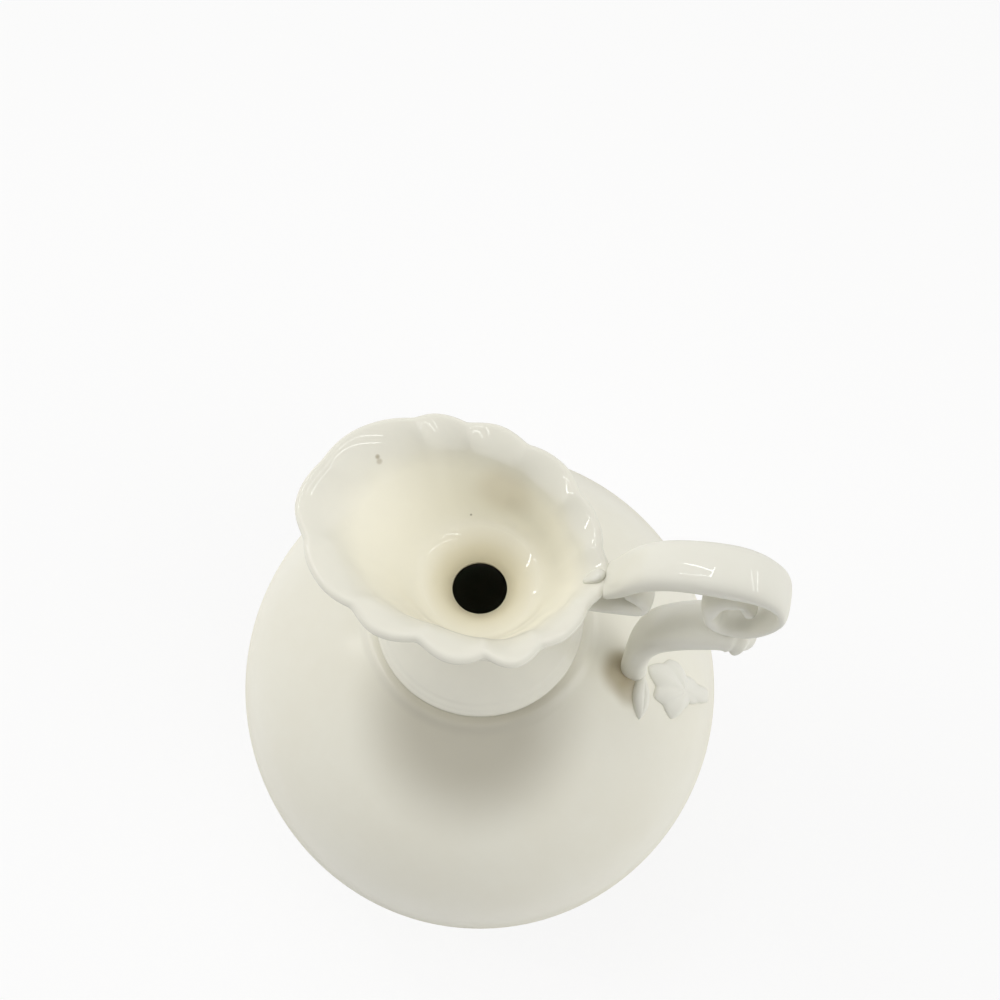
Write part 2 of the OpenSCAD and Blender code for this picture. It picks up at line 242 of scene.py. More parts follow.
@dataclass(frozen=True)
class Station:
    """One ring of a strap: place and heading in the handle's plane, width, thickness and offset from the plane."""

    place: Vector
    heading: Vector
    width: float
    thick: float
    aside: float = 0.0

    def matrix(self) -> Matrix:
        """Transform from a ring of radius 1 to this ring.

        Returns:
            The transform.
        """
        over = Vector((-self.heading.y, 0, self.heading.x)) * self.thick / 2
        across = Vector((0, 1, 0)) * self.width / 2
        along = Vector((self.heading.x, 0, self.heading.y))
        matrix = Matrix((over, across, along)).transposed().to_4x4()
        matrix.translation = Vector((self.place.x, self.aside, self.place.y))
        return matrix


def swept(stations: Sequence[Station], sides: int, softness: float) -> BMesh:
    """Sweeps a soft rounded section along stations and closes both ends.

    Args:
        stations: The rings, in order.
        sides: Number of sides of the section.
        softness: Power of the section's corners, 1 for an oval and less for a flatter strap.

    Returns:
        The closed mesh.
    """
    bm = bmesh.new()
    ring = bmesh.ops.create_circle(bm, segments=sides, radius=1)["verts"]
    for vert in ring:
        vert.co = Vector([copysign(abs(c) ** softness, c) if abs(c) > NO_SIZE else 0.0 for c in vert.co])
    bmesh.ops.transform(bm, matrix=stations[0].matrix(), verts=ring)
    edges = list(bm.edges)
    for before, after in zip(stations, stations[1:]):
        edges = grown_ring(bm, edges, after.matrix() @ before.matrix().inverted())
    bmesh.ops.holes_fill(bm, edges=[e for e in bm.edges if e.is_boundary], sides=0)
    return bm


def headings(path: Sequence[Vector]) -> list[Vector]:
    """Direction of a path at each of its points."""
    last = len(path) - 1
    return [(path[min(i + 1, last)] - path[max(i - 1, 0)]).normalized() for i in range(last + 1)]


def round_end(end: Station, ahead: float) -> list[Station]:
    """Rings that round off a strap's end.

    Args:
        end: The last full ring.
        ahead: Length of the round along the ring's heading, below 0 at a strap's start.

    Returns:
        The rings, from the full one outwards.
    """
    return [
        Station(end.place + end.heading * sin(a) * ahead, end.heading, end.width * cos(a),
                end.thick * cos(a), end.aside)
        for a in map(radians, ROUND_ANGLES)
    ]


def strap_stations(path: Sequence[Vector], width: float, widths: Pairs, thick: float, thicks: Pairs,
                   round_start: bool = False, asides: Pairs = ((0, 0), (1, 0))) -> list[Station]:
    """Rings square to a path, with a rounded end.

    Args:
        path: Points of the strap's middle line.
        width: Full width.
        widths: Shares of the full width by the share of the way.
        thick: Full thickness.
        thicks: Shares of the full thickness by the share of the way.
        round_start: Whether the start is rounded too.
        asides: Shares of the full width that the strap stands off the handle's plane, by the share of the way.

    Returns:
        The rings, in order.
    """
    last = len(path) - 1
    stations = [
        Station(place, heading, width * table_value(widths, i / last), thick * table_value(thicks, i / last),
                width * table_value(asides, i / last))
        for i, (place, heading) in enumerate(zip(path, headings(path)))
    ]
    start, end = stations[0], stations[-1]
    before = round_end(start, -start.thick / 3)[::-1] if round_start else []
    return [*before, *stations, *round_end(end, end.thick / 2)]


@dataclass
class Body:
    """Round body of the ewer: foot ring, lower bowl and shoulder dome."""

    half: float = 100 * MM
    belly_h: float = 68 * MM
    shoulder_rise: float = 82 * MM
    fullness: float = 2.2
    floor_fullness: float = 3.0
    wall: float = 6 * MM
    crown_wall: float = 8 * MM
    floor_t: float = 7 * MM
    seat_r: float = 41.6 * MM
    bore_r: float = 28 * MM
    foot_r: float = 62 * MM
    foot_h: float = 10 * MM
    foot_w: float = 7 * MM
    foot_top_w: float = 12 * MM
    foot_cove: float = 1.5 * MM
    foot_round: float = 1.2 * MM
    steps: int = 56

    def share(self, r: float, half: float, fullness: float) -> float:
        """Share of the full height that the body's curve has at a distance from the axis."""
        return (1 - min(r / half, 1) ** fullness) ** (1 / fullness)

    def shoulder_z(self, r: float) -> float:
        """Height of the shoulder at a distance from the axis."""
        return self.belly_h + self.shoulder_rise * self.share(r, self.half, self.fullness)

    def radii(self, start: float, end: float, half: float) -> list[float]:
        """Distances from the axis, from start to end, spaced evenly along a curve that is half across at its widest."""
        low, high = (acos((r / half) ** (self.fullness / 2)) for r in (start, end))
        return [half * max(cos(between(low, high, i / self.steps)), 0) ** (2 / self.fullness)
                for i in range(self.steps + 1)]

    def on_shoulder(self, x: float, y: float, lift: float) -> Vector:
        """Point above the shoulder, square to its face.

        Args:
            x: Place along the handle's line.
            y: Place across it.
            lift: Distance from the face, below 0 for a point under the glaze.

        Returns:
            The point.
        """
        r = hypot(x, y)
        step = 0.5 * MM
        slope = (self.shoulder_z(r + step) - self.shoulder_z(r - step)) / (2 * step)
        normal = Vector((-slope * x / r, -slope * y / r, 1)).normalized()
        return Vector((x, y, self.shoulder_z(r))) + lift * normal

    def build(self) -> list[Piece]:
        """Builds the three pieces of the body."""
        return [self.build_foot(), self.build_bowl(), self.build_shoulder()]

    def dress(self, pieces: Sequence[Piece], effects: Effects) -> None:
        """Puts their coats on the foot, and on the bowl and shoulder."""
        FOOT_COAT.dress(pieces[:1], effects)
        BODY_COAT.dress(pieces[1:], effects)

    def build_foot(self) -> Piece:
        """Spins the foot ring with a cove outside and worn, rounded treads.

        Returns:
            The foot ring.
        """
        soft = self.foot_round
        inner, outer = self.foot_r - self.foot_w, self.foot_r
        cove = arc(Vector((outer, self.foot_h / 2)), self.foot_cove, 270, 90, steps=10)
        profile = [
            *arc(Vector((inner + soft, soft)), soft, 180, 270, steps=5),
            *arc(Vector((outer - soft, soft)), soft, 270, 360, steps=5),
            *cove,
            Vector((outer, self.foot_h)),
            Vector((outer - self.foot_top_w, self.foot_h)),
        ]
        return finished("foot_ring_turned", turned(profile), ["foot_ring"])

    def build_bowl(self) -> Piece:
        """Spins the lower half of the body, with its floor and its open top.

        Returns:
            The lower bowl.
        """
        inner_r = self.half - self.wall
        depth = (self.belly_h - self.foot_h) / self.share(self.foot_r, self.half, self.fullness)
        floor = self.belly_h - self.foot_h - self.floor_t
        outer = [
            Vector((r, self.belly_h - depth * self.share(r, self.half, self.fullness)))
            for r in self.radii(self.foot_r, self.half, self.half)
        ]
        inner = [
            Vector((r, self.belly_h - floor * self.share(r, inner_r, self.floor_fullness)))
            for r in self.radii(inner_r, 0, inner_r)
        ]
        profile = [Vector((0, self.foot_h)), *outer, *inner]
        return finished("lower_bowl_turned", turned(profile, closed=False), ["lower_bowl"])

    def build_shoulder(self) -> Piece:
        """Spins the upper half of the body, with the bore that takes the neck.

        Returns:
            The shoulder dome.
        """
        inner_r = self.half - self.wall
        rise = self.shoulder_rise - self.crown_wall
        outer = [Vector((r, self.shoulder_z(r))) for r in self.radii(self.half, self.seat_r, self.half)]
        inner = [
            Vector((r, self.belly_h + rise * self.share(r, inner_r, self.fullness)))
            for r in self.radii(self.bore_r, inner_r, inner_r)
        ]
        seat = Vector((self.bore_r, self.shoulder_z(self.seat_r)))
        return finished("shoulder_dome_turned", turned([*outer, seat, *inner]), ["shoulder_dome"])


@dataclass
class Neck:
    """Neck of the ewer: the flared skirt with its throat and basin, and the bead round it."""

    body: Body
    skirt_r: float = 36.8 * MM
    edge_t: float = 4 * MM
    waist_r: float = 15.5 * MM
    waist_h: float = 22 * MM
    throat_r: float = 9 * MM
    throat_len: float = 1.2 * MM
    throat_h: float = 25 * MM
    throat_round: float = 0.6 * MM
    well_r: float = 12.5 * MM
    well_h: float = 5.6 * MM
    height: float = 33 * MM
    seam_in: float = 18.5 * MM
    seam_out: float = 24 * MM
    spigot_r: float = 27.8 * MM
    spigot_len: float = 4 * MM
    spigot_wall: float = 5 * MM
    bead_r: float = 38.6 * MM
    bead_w: float = 4.6 * MM
    bead_h: float = 1.8 * MM
    skirt_low: Pair = (0.2, 0.35)
    skirt_high: Pair = (0.17, 0.46)
    basin_pull: float = 0.67
    split_slope: float = 1.1
    crease_from_edge: float = 2.2 * MM
    crease_w: float = 0.9 * MM
    crease_depth: float = 0.25 * MM
    seam_dip: float = 1.0 * MM

    @property
    def seat_z(self) -> float:
        """Height of the shoulder's seat, which the neck stands on."""
        return self.body.shoulder_z(self.body.seat_r)

    @property
    def seam_z(self) -> float:
        """Height of the seam between the neck and the mouth."""
        return self.seat_z + self.height

    def well(self) -> Vector:
        """Place where the basin bends down into the well round the throat, as (radius, height)."""
        return Vector((self.well_r, self.seat_z + self.throat_h + self.well_h))

    def inside(self, at: Vector) -> bool:
        """Whether a point of the bell is in its basin or throat rather than on its outside.

        Args:
            at: The point.

        Returns:
            True in the basin and throat.
        """
        up = at.z - self.seat_z - self.throat_h
        split_r = between(self.throat_r, self.waist_r, 0.5) + self.split_slope * up
        return up > -self.throat_len - WELD and at.xy.length < split_r

    def build(self) -> list[Piece]:
        """Builds the bell and the bead."""
        return [self.build_bell(), self.build_bead()]

    def dress(self, pieces: Sequence[Piece], effects: Effects) -> None:
        """Puts the mouth's coat on the bell and the body's coat on the bead."""
        MOUTH_COAT.dress(pieces[:1], effects)
        BODY_COAT.dress(pieces[1:], effects)

    def creased(self, skirt: Sequence[Vector]) -> list[Vector]:
        """Skirt's curve with a fine turned crease above its edge.

        Args:
            skirt: Points of the plain curve, from the edge up.

        Returns:
            The creased points.
        """
        way = 0.0
        points = [skirt[0]]
        for before, after in zip(skirt, skirt[1:]):
            step = after - before
            way += step.length
            sink = self.crease_depth * exp(-(((way - self.crease_from_edge) / self.crease_w) ** 2))
            points.append(after - sink * Vector((step.y, -step.x)).normalized())
        return points

    def build_bell(self) -> Piece:
        """Spins the skirt, waist, basin and throat.

        Returns:
            The neck's bell.
        """
        z = self.seat_z
        edge_r = self.edge_t / 2
        edge = arc(Vector((self.skirt_r - edge_r, z + edge_r)), edge_r, -90, 60, steps=14)
        waist = Vector((self.waist_r, z + self.waist_h))
        seam_out, seam_in = Vector((self.seam_out, self.seam_z)), Vector((self.seam_in, self.seam_z))
        throat = Vector((self.throat_r, z + self.throat_h))
        low = throat - Vector((0, self.throat_len))
        spigot_low = Vector((self.spigot_r - self.spigot_wall, z - self.spigot_len))
        wide, tall = edge[-1].x - waist.x, waist.y - edge[-1].y
        low_pull = Vector((-self.skirt_low[0] * wide, self.skirt_low[1] * tall))
        high_pull = Vector((self.skirt_high[0] * wide, -self.skirt_high[1] * tall))
        skirt = curve(edge[-1], edge[-1] + low_pull, waist + high_pull, waist, steps=72)
        middle = (waist + seam_out) / 2
        cup = curve(waist, Vector((waist.x, middle.y)), middle, seam_out, steps=24)
        lip = arc(throat + Vector((self.throat_round, -self.throat_round)), self.throat_round, 125, 180, steps=5)
        well = self.well()
        pull = self.basin_pull
        basin = curve(seam_in, between(seam_in, well, pull), between(lip[0], well, pull), lip[0], steps=28)
        bell = curve(low, low + Vector((self.throat_r / 2, -self.throat_len)),
                     Vector((spigot_low.x, (low.y + z) / 2)), spigot_low, steps=20)
        dip = seam_in + Vector((self.seam_dip, -1.5 * self.seam_dip))
        profile = [Vector((self.spigot_r, spigot_low.y)), Vector((self.spigot_r, z)), *edge, *self.creased(skirt)[1:],
                   *cup[1:], dip, *basin, *lip[1:], *bell]
        bm = turned(profile)
        # Painted light: the basin and throat take the mouth coat's lighter deep tone
        warmth_and_painted_light = bm.verts.layers.float.new(WARMTH_AND_PAINTED_LIGHT)
        for vert in bm.verts:
            vert[warmth_and_painted_light] = float(self.inside(vert.co))
        return finished("neck_bell_turned", bm, ["neck_bell"])

    def build_bead(self) -> Piece:
        """Spins the bead, which fills the skirt's undercut and runs out softly over the shoulder.

        Returns:
            The bead.
        """
        top = Vector((self.bead_r, self.seat_z + self.bead_h))
        inner = Vector((self.skirt_r - self.edge_t / 2, self.seat_z))
        end_r = self.bead_r + self.bead_w
        end = Vector((end_r, self.body.shoulder_z(end_r)))
        slope = end - Vector((self.bead_r, self.body.shoulder_z(self.bead_r)))
        rise = curve(inner, Vector((inner.x, top.y)), top - Vector((self.bead_w / 3, 0)), top, steps=12)
        run_out = curve(top, top + Vector((self.bead_w / 2, 0)), end - slope / 2, end, steps=24)
        under = end + Vector((-self.bead_w / 3, -self.bead_h))
        return finished("neck_bead_turned", turned([*rise, *run_out[1:], under]), ["neck_bead"])


@dataclass
class Mouth:
    """Scalloped funnel of the ewer, with its flared lip and its pouring spout."""

    neck: Neck
    rim_r: float = 36.25 * MM
    spout_reach: float = 17.5 * MM
    spout_spread: float = radians(92)
    spout_turn: float = radians(2)
    rim_h: float = 24 * MM
    spout_rise: float = 11.5 * MM
    inside_notch: float = 0.08
    notch_softness: float = 0.012
    notch_lift: float = 0.5 * MM
    lip_w: float = 9 * MM
    lip_loss: float = 2 * MM
    lip_drop: float = 3 * MM
    lip_t: float = 3.6 * MM
    lip_lean: float = 24.0
    fold: float = 6.5 * MM
    tight_fold: float = 3 * MM
    wall: float = 5 * MM
    wall_lean: float = 0.94
    wall_pulls: Pair = (0.2, 0.4)
    flare_pull: float = 0.62
    outside_lean: float = 0.62
    outside_pulls: Pair = (0.34, 0.3)
    warmth_and_painted_light_from: float = 0.05
    warmth_and_painted_light_over: float = 0.45
    # Notches between the hand-pressed lobes, in degrees from the handle, the depth of each in millimetres,
    # and how far each lobe after them swells, in millimetres
    notches: tuple[float, ...] = (-159, -130, -101, -70, -43, -13, 18, 48, 83, 114, 136, 172)
    depths: tuple[float, ...] = (2.0, 2.2, 2.4, 2.8, 2.0, 1.8, 1.7, 1.7, 2.2, 2.2, 1.8, 1.6)
    swells: tuple[float, ...] = (-2.0, -0.6, 0.0, 0.8, 0.0, 2.4, 0.0, 0.8, 2.3, 1.2, 0.0, -0.4)

    def from_spout(self, a: float) -> float:
        """Angle from the spout's middle."""
        return abs((a - self.spout_turn) % tau - pi)

    def lobe(self, a: float) -> tuple[int, float]:
        """Number of the lobe at an angle, and the share of the way across it.

        Args:
            a: Angle from the handle.

        Returns:
            The number and the share.
        """
        turn = degrees(a)
        starts = self.notches
        ends = starts[1:] + (starts[0] + 360,)
        for i, (start, end) in enumerate(zip(starts, ends)):
            for shifted in (turn, turn + 360):
                if start <= shifted <= end:
                    return i, (shifted - start) / (end - start)
        return 0, 0.0

    def notch_share(self, a: float) -> float:
        """How much of a notch there is at an angle, from 0 on a lobe to 1 in the notch."""
        low, here, high = (sqrt(s + self.notch_softness) for s in (0, sin(pi * self.lobe(a)[1]) ** 2, 1))
        return 1 - (here - low) / (high - low)

    def notch(self, a: float) -> float:
        """How far the rim's edge is drawn in by the nearest notch at an angle."""
        i, share = self.lobe(a)
        return self.depths[(i + (share >= 0.5)) % len(self.depths)] * MM * self.notch_share(a)

    def swell(self, a: float) -> float:
        """How far the rim stands out beyond the even plan at an angle.

        Args:
            a: Angle from the handle.

        Returns:
            The distance.
        """
        i, share = self.lobe(a)
        here = self.swells[i]
        beside = self.swells[i - 1] if share < 0.5 else self.swells[(i + 1) % len(self.swells)]
        return between(here, beside, 0.5 * soft_step(2 * abs(share - 0.5))) * MM

    def plan(self, a: float) -> float:
        """Distance of the rim from the axis over the lobes."""
        spread = min(self.from_spout(a) / self.spout_spread, 1)
        return self.rim_r + self.spout_reach * (1 + cos(pi * spread)) / 2 + self.swell(a)

    def edge_radius(self, a: float) -> float:
        """Distance of the rim's edge from the axis."""
        return self.plan(a) - self.notch(a)

    def rim_z(self, a: float) -> float:
        """Height of the rim."""
        rise = self.spout_rise * (1 + cos(self.from_spout(a))) / 2
        return self.neck.seam_z + self.rim_h + rise + self.notch_lift * self.notch_share(a)

    def lip_in(self, a: float) -> Vector:
        """Place where the inside wall meets the flared lip, as (radius, height)."""
        lip_w = self.lip_w - self.lip_loss * max(cos(a), 0) ** 2
        return Vector((self.plan(a) - lip_w - self.inside_notch * self.notch(a), self.rim_z(a) - self.lip_drop))

    def fold_at(self, a: float) -> float:
        """Length of the bend from the wall into the lip, which is tight away from the spout."""
        return between(self.fold, self.tight_fold, soft_step(self.from_spout(a) / self.spout_spread))

    def lip_top_z(self, a: float, r: float) -> float:
        """Height of the lip's top at an angle and a distance from the axis."""
        inner, outer = self.lip_in(a).x, self.edge_radius(a) - self.lip_t / 2
        return self.rim_z(a) - self.lip_drop * (1 - min(max((r - inner) / (outer - inner), 0), 1)) ** 2

    def section(self, a: float) -> list[Vector]:
        """One section of the mouth, from the inside of the seam over the lip to its outside.

        Args:
            a: Angle from the handle.

        Returns:
            Points as (radius, height), the same number at every angle.
        """
        neck = self.neck
        edge_r = self.lip_t / 2
        edge_c = Vector((self.edge_radius(a) - edge_r, self.rim_z(a) - edge_r))
        inner = self.lip_in(a)
        outer = inner + Vector((self.wall, -self.wall))
        seam_in, seam_out = Vector((neck.seam_in, neck.seam_z)), Vector((neck.seam_out, neck.seam_z))
        waist = Vector((neck.waist_r, neck.seat_z + neck.waist_h))
        rise = inner.y - seam_in.y
        from_basin = (seam_in - neck.well()).normalized()
        from_cup = (seam_out - waist).normalized()
        up = Vector((self.wall_lean * (inner.x - seam_in.x), rise)).normalized()
        fold = self.fold_at(a)
        wall_top = inner - fold * up
        low, high = (pull * rise for pull in self.wall_pulls)
        wall_in = curve(seam_in, seam_in + low * from_basin, wall_top - high * up, wall_top, WALL_STEPS)
        edge = arc(edge_c, edge_r, 90 + self.lip_lean, -90, steps=14)
        lean = Vector((cos(radians(self.lip_lean)), sin(radians(self.lip_lean))))
        pull = self.flare_pull
        flare = curve(wall_top, wall_top + pull * fold * up, edge[0] - pull * self.fold * lean, edge[0], FLARE_STEPS)
        under = curve(edge[-1], edge[-1] - Vector((edge_r, 0)), outer + Vector((0, edge_r)), outer, steps=8)
        out_up = Vector((self.outside_lean * (outer.x - seam_out.x), outer.y - seam_out.y)).normalized()
        high, low = (pull * rise for pull in self.outside_pulls)
        wall_out = curve(outer, outer - high * out_up, seam_out + low * from_cup, seam_out, WALL_STEPS)
        return [*wall_in, *flare[1:], *edge[1:], *under[1:], *wall_out[1:]]

    def build(self) -> list[Piece]:
        """Spins a flat fan of rings and lays each of its spokes on its own section.

        Returns:
            The mouth, alone in its list.
        """
        count = len(self.section(0))
        bm = turned([Vector((MM * (1 + i), 0)) for i in range(count)])
        sections: dict[int, list[Vector]] = {}
        warmth_and_painted_light = bm.verts.layers.float.new(WARMTH_AND_PAINTED_LIGHT)
        for vert in bm.verts:
            index = round(vert.co.xy.length / MM) - 1
            a = atan2(vert.co.y, vert.co.x)
            key = round(a * TURN_STEPS / tau) % TURN_STEPS
            if key not in sections:
                sections[key] = self.section(remainder(key * tau / TURN_STEPS, tau))
            at = sections[key][index]
            vert.co = Vector((at.x * cos(a), at.x * sin(a), at.y))
            vert[warmth_and_painted_light] = self.warmth_and_painted_light(a, at, index)
        return [finished("mouth_funnel_pressed", bm, ["mouth_funnel"])]

    def dress(self, pieces: Sequence[Piece], effects: Effects) -> None:
        """Puts its coat on the mouth."""
        MOUTH_COAT.dress(pieces, effects)

    def warmth_and_painted_light(self, a: float, at: Vector, index: int) -> float:
        """Share of the funnel's deep tone, which is deep in the funnel and fades towards the lip. On the mouth this
        tone is lighter than the lip's: painted light deep in the funnel, with the warmer tone of thick glaze.

        Args:
            a: Angle from the handle.
            at: Place as (radius, height).
            index: Number of the point along its section.

        Returns:
            The share, 0 on the outside.
        """
        if index > WALL_STEPS + FLARE_STEPS:
            return 0.0
        depth = (self.rim_z(a) - at.y) / (self.rim_z(a) - self.neck.seam_z)
        return soft_step((depth - self.warmth_and_painted_light_from) / self.warmth_and_painted_light_over)


@dataclass
class Handle:
    """Double scroll handle: the upper strap, the lower stem and the small curl under the root."""

    body: Body
    mouth: Mouth
    strap_w: float = 14 * MM
    strap_t: float = 8.6 * MM
    reach: float = 44 * MM
    rise: float = 28.5 * MM
    curl_t: float = 3.4 * MM
    stem_x: float = 57 * MM
    stem_w: float = 15 * MM
    tip_len: float = 6 * MM
    curl_w: float = 11 * MM
    root_curl_t: float = 4.4 * MM
    seat_gap: float = 0.15 * MM
    sides: int = 20
    strap_softness: float = 0.74
    stem_softness: float = 0.78
    curl_softness: float = 0.85
    # Places along the upper strap, as shares of its reach and rise from the rim
    upper: Pairs = (
        (0.045, -0.06), (0.1, 0.12), (0.175, 0.4), (0.32, 0.69), (0.5, 0.89), (0.66, 0.98), (0.8, 1), (0.92, 0.91),
        (0.995, 0.71), (0.99, 0.43), (0.925, 0.18), (0.81, 0.08), (0.7, 0.14), (0.645, 0.35), (0.68, 0.5),
        (0.77, 0.53), (0.86, 0.43))
    curl_low: Pair = (0.81, 0.08)
    # Places along the lower stem, as shares of the way from its foot to the curl that rests on it
    lower: Pairs = (
        (0.02, -0.06), (0, 0), (-0.1, 0.27), (-0.12, 0.5), (0, 0.68), (0.31, 0.82), (0.69, 0.93), (1, 1))
    tip: Pairs = ((0.5, 0.05), (1, -0.1))
    # Places along the root's curl, as shares of the strap's width and the lip's thickness
    root_curl: Pairs = (
        (-0.15, -0.2), (0, 0), (0.4, 0.5), (0.75, 1.2), (1.1, 1.95), (1.22, 2.75), (1.06, 3.3), (0.84, 3.1))

    def build(self) -> list[Piece]:
        """Builds the three straps of the handle."""
        return [self.build_upper(), self.build_lower(), self.build_root_curl()]

    def dress(self, pieces: Sequence[Piece], effects: Effects) -> None:
        """Puts their coat on the straps."""
        HANDLE_COAT.dress(pieces, effects)

    def upper_place(self, share: Pair) -> Vector:
        """Place of a share of the upper strap's reach and rise."""
        top = self.mouth.neck.seam_z + self.mouth.rim_h
        return Vector((self.mouth.rim_r + share[0] * self.reach, top + share[1] * self.rise))

    def build_upper(self) -> Piece:
        """Sweeps the upper strap from the lip over its arch into the curl and its end knob.

        Returns:
            The upper strap.
        """
        path = spline([self.upper_place(s) for s in self.upper], steps=5)
        thin = self.curl_t / self.strap_t
        widths = ((0, 0.88), (0.12, 0.96), (0.3, 1), (0.46, 0.86), (0.6, 0.8), (0.82, 0.8), (0.92, 0.5), (0.96, 0.36),
                  (1, 0.5))
        thicks = ((0, 0.5), (0.08, 0.72), (0.18, 1), (0.28, 1), (0.5, 0.9 * thin), (0.7, 0.9 * thin),
                  (0.76, 1.5 * thin), (0.785, 1.1 * thin), (0.83, 1.7 * thin), (0.86, 1.15 * thin), (0.9, 1.3 * thin),
                  (0.96, 0.75 * thin), (1, 1.15 * thin))
        asides = ((0, 0.16), (0.12, 0.12), (0.3, 0.03), (0.42, 0))
        stations = strap_stations(path, self.strap_w, widths, self.strap_t, thicks, round_start=True, asides=asides)
        strap = swept(stations, self.sides, self.strap_softness)
        return finished("upper_scroll_strap", strap, ["upper_scroll"], smoothing=1)

    def build_lower(self) -> Piece:
        """Sweeps the lower stem from its flared foot on the shoulder to its lobed tip.

        Returns:
            The lower stem.
        """
        foot = Vector((self.stem_x, self.body.shoulder_z(self.stem_x)))
        drop = (self.curl_t + self.strap_t) / 2 + self.seat_gap
        rest = self.upper_place(self.curl_low) - Vector((0, drop))
        way = rest - foot
        places = [foot + Vector((s[0] * way.x, s[1] * way.y)) for s in self.lower]
        places += [rest + Vector(s) * self.tip_len for s in self.tip]
        widths = ((0, 0.66), (0.1, 0.64), (0.28, 0.92), (0.42, 1), (0.78, 1), (0.84, 1.04), (0.885, 0.95), (0.94, 1.06),
                  (1, 0.78))
        thicks = ((0, 1.2), (0.1, 1.08), (0.22, 1), (0.78, 1), (0.84, 1.02), (0.885, 0.9), (0.94, 1.0), (1, 0.8))
        stations = strap_stations(spline(places, steps=6), self.stem_w, widths, self.strap_t, thicks)
        strap = swept(stations, self.sides, self.stem_softness)
        return finished("lower_scroll_stem", strap, ["lower_scroll"], smoothing=1)

    def build_root_curl(self) -> Piece:
        """Sweeps the small curl from the wall under the lip.

        Returns:
            The curl.
        """
        mouth = self.mouth
        under = mouth.lip_drop + mouth.wall + self.root_curl_t / 2
        start = Vector((mouth.rim_r - mouth.lip_w + mouth.wall, mouth.neck.seam_z + mouth.rim_h - under))
        places = [start + Vector((s[0] * self.strap_w, s[1] * mouth.lip_t)) for s in self.root_curl]
        widths = ((0, 1.1), (0.3, 1), (0.6, 1), (0.85, 0.8), (1, 0.62))
        thicks = ((0, 1.25), (0.3, 1), (1, 0.9))
        stations = strap_stations(spline(places, steps=6), self.curl_w, widths, self.root_curl_t, thicks)
        strap = swept(stations, self.sides, self.curl_softness)
        return finished("root_curl_strap", strap, ["root_curl"], smoothing=1)


@dataclass
class Leaf:
    """Small applied leaf. This one has a vein and lies on the shoulder beside the stem's foot."""

    body: Body
    mouth: Mouth
    node: str = "side_leaf"
    place: Pair = (60.5 * MM, -1 * MM)
    root_share: float = 0.5
    turn: float = radians(-80)
    length: float = 15.5 * MM
    width: float = 6 * MM
    point_power: float = 0.7
    edge_lift: float = 1.7 * MM
    crown_lift: float = 0.9 * MM
    rim_power: int = 5
    vein_depth: float = 0.5 * MM
    vein_w: float = 0.2
    sink: float = 1.6 * MM
    sides: int = 48
    rings: tuple[float, ...] = (1, 0.985, 0.955, 0.91, 0.85, 0.76, 0.64, 0.5, 0.36, 0.22, 0.1)

    def edge(self, a: float) -> Vector:
        """Place of the edge at an angle, along and across the leaf from its middle."""
        return Vector((self.length / 2 * cos(a), self.width / 2 * sin(a) * abs(sin(a)) ** self.point_power))

    def swollen(self, share: float) -> float:
        """Height at a share of the way to the edge: a rounded rim that swells towards the middle."""
        return self.edge_lift * sqrt(max(1 - share**self.rim_power, 0)) + self.crown_lift * (1 - share * share)

    def lift(self, share: float, a: float) -> float:
        """Height of the face at a share of the way to the edge and an angle."""
        return self.swollen(share) - self.vein_depth * exp(-((share * sin(a) / self.vein_w) ** 2)) * (1 - share)

    def laid(self, at: Vector, lift: float) -> Vector:
        """Point at a height over the face that carries the leaf."""
        return self.body.on_shoulder(at.x, at.y, lift)

    def build(self) -> list[Piece]:
        """Drapes a flat disc of rings, with its outer edge doubled and sunk, on the face that carries the leaf.

        Returns:
            The leaf, alone in its list.
        """
        bm = bmesh.new()
        bmesh.ops.create_circle(bm, segments=self.sides, radius=1)
        sunk = set(bm.verts)
        edges = grown_ring(bm, list(bm.edges), Matrix.Identity(4))
        for before, after in zip(self.rings, self.rings[1:]):
            edges = grown_ring(bm, edges, Matrix.Scale(after / before, 4))
        bmesh.ops.holes_fill(bm, edges=[e for e in bm.edges if e.is_boundary], sides=0)
        turn = Matrix.Rotation(self.turn, 2)
        middle = Vector(self.place) + turn @ Vector((self.root_share * self.length, 0))
        for vert in bm.verts:
            share, a = vert.co.xy.length, atan2(vert.co.y, vert.co.x)
            at = middle + share * (turn @ self.edge(a))
            vert.co = self.laid(at, -self.sink if vert in sunk else self.lift(share, a))
        return [finished(f"{self.node}_relief", bm, [self.node], smoothing=1)]

    def dress(self, pieces: Sequence[Piece], effects: Effects) -> None:
        """Puts the handle's coat on the leaf."""
        HANDLE_COAT.dress(pieces, effects)


@dataclass
class IvyLeaf(Leaf):
    """Leaf of several points on the shoulder, with a rib along each point."""

    node: str = "ivy_leaf"
    place: Pair = (76.5 * MM, 0.5 * MM)
    root_share: float = 0.0
    turn: float = 0.0
    length: float = 14 * MM
    rib_lift: float = 0.6 * MM
    rib_spread: float = 18.0
    sides: int = 96
    # Edge of the leaf: angle in degrees, then share of the leaf's length
    points: Pairs = (
        (-180, 0.98), (-162, 0.74), (-144, 0.88), (-126, 0.7), (-97, 0.8), (-72, 0.46), (-28, 0.32), (4, 0.6),
        (18, 1.02), (34, 1.14), (46, 0.7), (86, 0.48), (108, 0.72), (128, 0.8), (146, 0.76), (172, 1.04), (180, 0.98))
    ribs: tuple[float, ...] = (-144, -97, 27, 122, 172)

    def edge(self, a: float) -> Vector:
        """Place of the edge at an angle, along and across the leaf from its middle."""
        return self.length * table_value(self.points, degrees(a), ease=float) * Vector((cos(a), sin(a)))

    def lift(self, share: float, a: float) -> float:
        """Height of the face at a share of the way to the edge and an angle."""
        gap = min(abs((degrees(a) - rib + 180) % 360 - 180) for rib in self.ribs)
        return self.swollen(share) + self.rib_lift * exp(-((gap / self.rib_spread) ** 2)) * sin(pi * min(share, 1))


